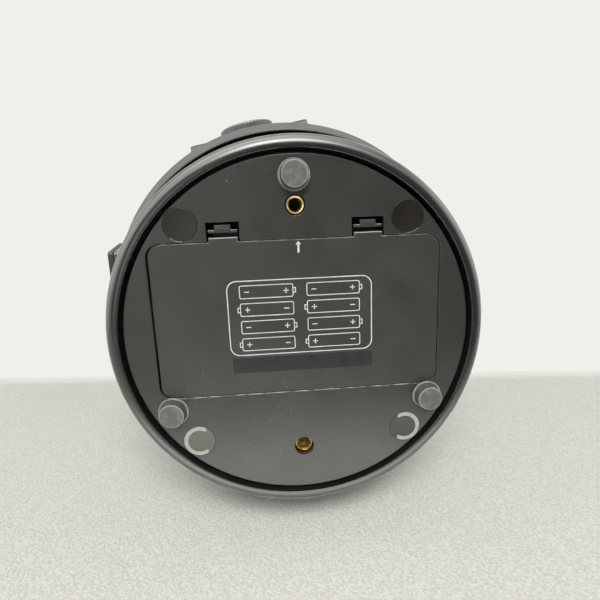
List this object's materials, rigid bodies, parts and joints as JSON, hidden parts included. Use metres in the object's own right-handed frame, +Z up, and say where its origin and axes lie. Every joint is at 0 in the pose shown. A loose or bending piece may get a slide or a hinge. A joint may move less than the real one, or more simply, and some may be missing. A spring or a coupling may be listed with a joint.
{
  "type": "fork-mounted telescope",
  "caption": "Compact fork-mounted mirror-lens telescope on a round motorised base with battery door, swivelling fork and tilting tube.",
  "frame": {"origin": "on the azimuth axis, in the plane that the three feet stand on", "axes": "+Z up the azimuth axis with the base standing on its feet, +X towards the control panel, +Y towards the upper tripod insert"},
  "size_m": [0.2147, 0.2315, 0.381],
  "materials": {
    "black_plastic": "satin black moulded plastic",
    "grey_plastic": "fine satin dark grey moulded plastic",
    "rubber_grey": "matte grey rubber",
    "black_rubber": "matte black rubber",
    "brass": "turned brass",
    "steel": "zinc plated steel",
    "cell_jacket": "plain printed cell jacket",
    "contact_metal": "nickel plated spring steel",
    "board": "green circuit board",
    "red_light": "clear red lamp",
    "bearing": "sintered bronze",
    "gear_white": "ivory acetal",
    "aluminium": "machined aluminium",
    "dial_silver": "brushed aluminium dial",
    "tube_blue": "deep blue anodised aluminium",
    "black_metal": "satin black anodised aluminium",
    "flat_black": "flat black anti-glare paint",
    "glass": "coated optical glass",
    "mirror": "aluminised glass"
  },
  "bodies": {
    "base": {"base_shell": "black_plastic", "bottom_plate": "grey_plastic", "rubber_feet": "rubber_grey", "tripod_inserts": "brass", "screw_plugs": "grey_plastic", "plate_screws": "steel", "battery_tray": "black_plastic", "batteries": "cell_jacket", "battery_contacts": "contact_metal", "control_panel": "black_plastic", "data_sockets": "black_plastic", "power_jack": "black_plastic", "power_light": "red_light", "panel_screws": "steel", "circuit_board": "board", "azimuth_bushing": "bearing", "azimuth_wheel": "gear_white", "azimuth_worm": "steel", "azimuth_motor": "steel"},
    "battery_door": {"battery_cover": "grey_plastic"},
    "switch": {"power_switch": "black_plastic"},
    "setting_circle": {"azimuth_circle": "dial_silver"},
    "fork": {"turntable": "black_plastic", "azimuth_shaft": "aluminium", "shaft_nut": "steel", "right_fork_arm": "black_plastic", "left_fork_arm": "black_plastic", "arm_covers": "black_plastic", "arm_screws": "steel", "altitude_bushings": "bearing", "altitude_wheel": "gear_white", "altitude_worm": "steel", "altitude_motor": "steel"},
    "azimuth_lock": {"azimuth_lock_lever": "black_plastic"},
    "tube": {"tube_adapters": "black_metal", "adapter_screws": "steel", "main_tube": "tube_blue", "rear_cell": "black_metal", "front_cell": "black_metal", "corrector_lens": "glass", "secondary_mirror": "mirror", "secondary_baffle": "flat_black", "primary_baffle": "flat_black", "eyepiece_holder": "black_metal", "photo_port": "black_metal", "finder_bracket": "black_metal", "finder_tube": "black_metal", "finder_lenses": "glass", "finder_screws": "steel", "declination_circle": "dial_silver"},
    "altitude_lock": {"altitude_lock_knob": "black_plastic"},
    "mirror_cell": {"primary_mirror": "mirror", "mirror_carriage": "aluminium"},
    "focuser": {"focus_knob": "black_metal"},
    "flip": {"flip_mirror": "mirror", "flip_knob": "black_metal"},
    "eyepiece": {"eyepiece": "black_metal"},
    "eyepiece_lock": {"eyepiece_screw": "steel"},
    "cap": {"photo_port_cap": "black_plastic"}
  },
  "joints": [
    {"name": "azimuth_turn", "type": "hinge", "parent": "base", "child": "fork", "pos_m": [0, 0, 0.05], "axis": [0, 0, 1], "range_deg": [-315, 315]},
    {"name": "altitude_turn", "type": "hinge", "parent": "fork", "child": "tube", "pos_m": [0, 0, 0.188], "axis": [-0.1994, -0.9799, 0], "range_deg": [-5, 115]},
    {"name": "battery_door_hinge", "type": "hinge", "parent": "base", "child": "battery_door", "pos_m": [0, -0.0268, 0.00475], "axis": [-1, 0, 0], "range_deg": [0, 95]},
    {"name": "power_switch_slide", "type": "slide", "parent": "base", "child": "switch", "axis": [0, 1, 0], "range_m": [0, 0.003]},
    {"name": "setting_circle_turn", "type": "hinge", "parent": "base", "child": "setting_circle", "pos_m": [0, 0, 0.047], "axis": [0, 0, 1], "continuous": true},
    {"name": "azimuth_lock_turn", "type": "hinge", "parent": "fork", "child": "azimuth_lock", "pos_m": [0.07854, -0.01598, 0.077], "axis": [0, 0, 1], "range_deg": [-25, 25]},
    {"name": "altitude_lock_turn", "type": "hinge", "parent": "tube", "child": "altitude_lock", "pos_m": [0.02193, 0.10779, 0.188], "axis": [0.1994, 0.9799, 0], "range_deg": [-120, 120]},
    {"name": "focus_turn", "type": "hinge", "parent": "tube", "child": "focuser", "pos_m": [-0.0185, 0.03018, 0.1], "axis": [0, 0, 1], "range_deg": [-961, 961]},
    {"name": "focus_slide", "type": "slide", "parent": "tube", "child": "mirror_cell", "axis": [0, 0, 1], "range_m": [-0.004, 0.004]},
    {"name": "flip_turn", "type": "hinge", "parent": "tube", "child": "flip", "pos_m": [-0.01666, 0.00339, 0.145], "axis": [0.1994, 0.9799, 0], "range_deg": [-45, 0]},
    {"name": "eyepiece_slide", "type": "slide", "parent": "tube", "child": "eyepiece", "axis": [0.9799, -0.1994, 0], "range_m": [0, 0.035]},
    {"name": "eyepiece_lock_turn", "type": "hinge", "parent": "tube", "child": "eyepiece_lock", "pos_m": [0.06566, -0.01336, 0.15], "axis": [0, 0, 1], "range_deg": [-180, 180]},
    {"name": "cap_turn", "type": "hinge", "parent": "tube", "child": "cap", "pos_m": [0, 0, 0.096], "axis": [0, 0, 1], "continuous": true}
  ],
  "couplings": [
    {"joint": "focus_turn", "follows": "focus_slide", "rad_per_m": 4188.8}
  ]
}
